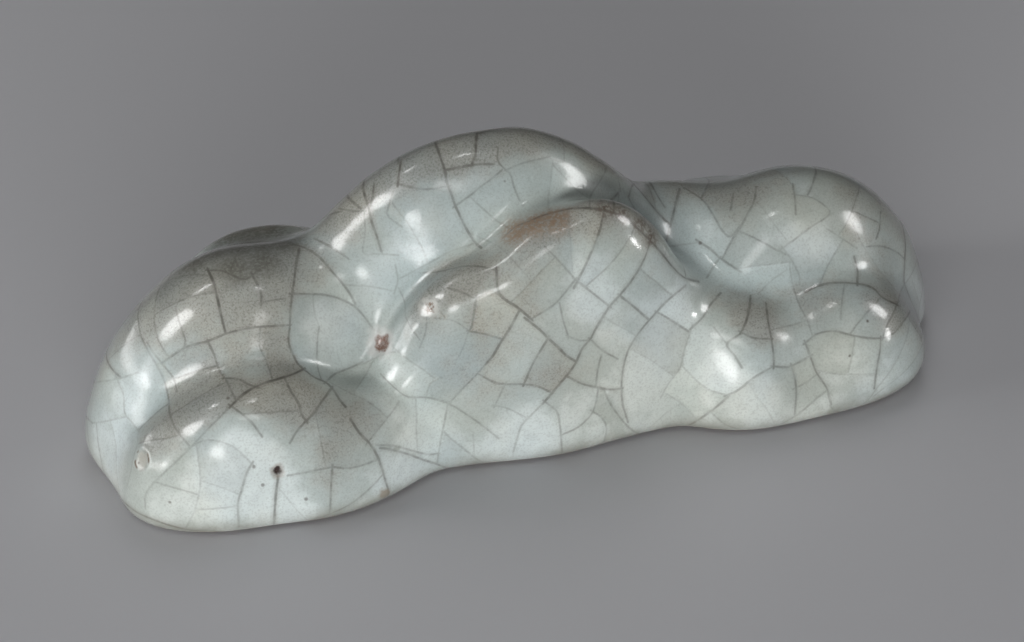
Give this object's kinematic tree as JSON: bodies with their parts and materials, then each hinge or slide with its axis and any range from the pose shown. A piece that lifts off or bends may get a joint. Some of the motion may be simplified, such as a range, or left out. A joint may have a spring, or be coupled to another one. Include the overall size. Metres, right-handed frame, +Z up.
{
  "type": "brush rest",
  "caption": "Glazed stoneware brush rest shaped as a range of rounded hills, with dips between the peaks where brush handles lie and a flat bare foot.",
  "frame": {"origin": "middle of the bounding box in plan, on the table that the rest stands on", "axes": "+X along the range of hills, towards the right hill as seen from the front; +Y from the front to the back; +Z up"},
  "size_m": [0.1349, 0.0454, 0.0454],
  "materials": {
    "glaze": "glossy pale grey-green glaze with dark crackle",
    "pressed_clay": "fired stoneware, matt",
    "bare_foot": "bare fired stoneware, matt brown"
  },
  "bodies": {
    "root": {"glaze_coat": "glaze", "front_shell": "pressed_clay", "back_shell": "pressed_clay", "base_slab": "bare_foot"}
  },
  "joints": []
}
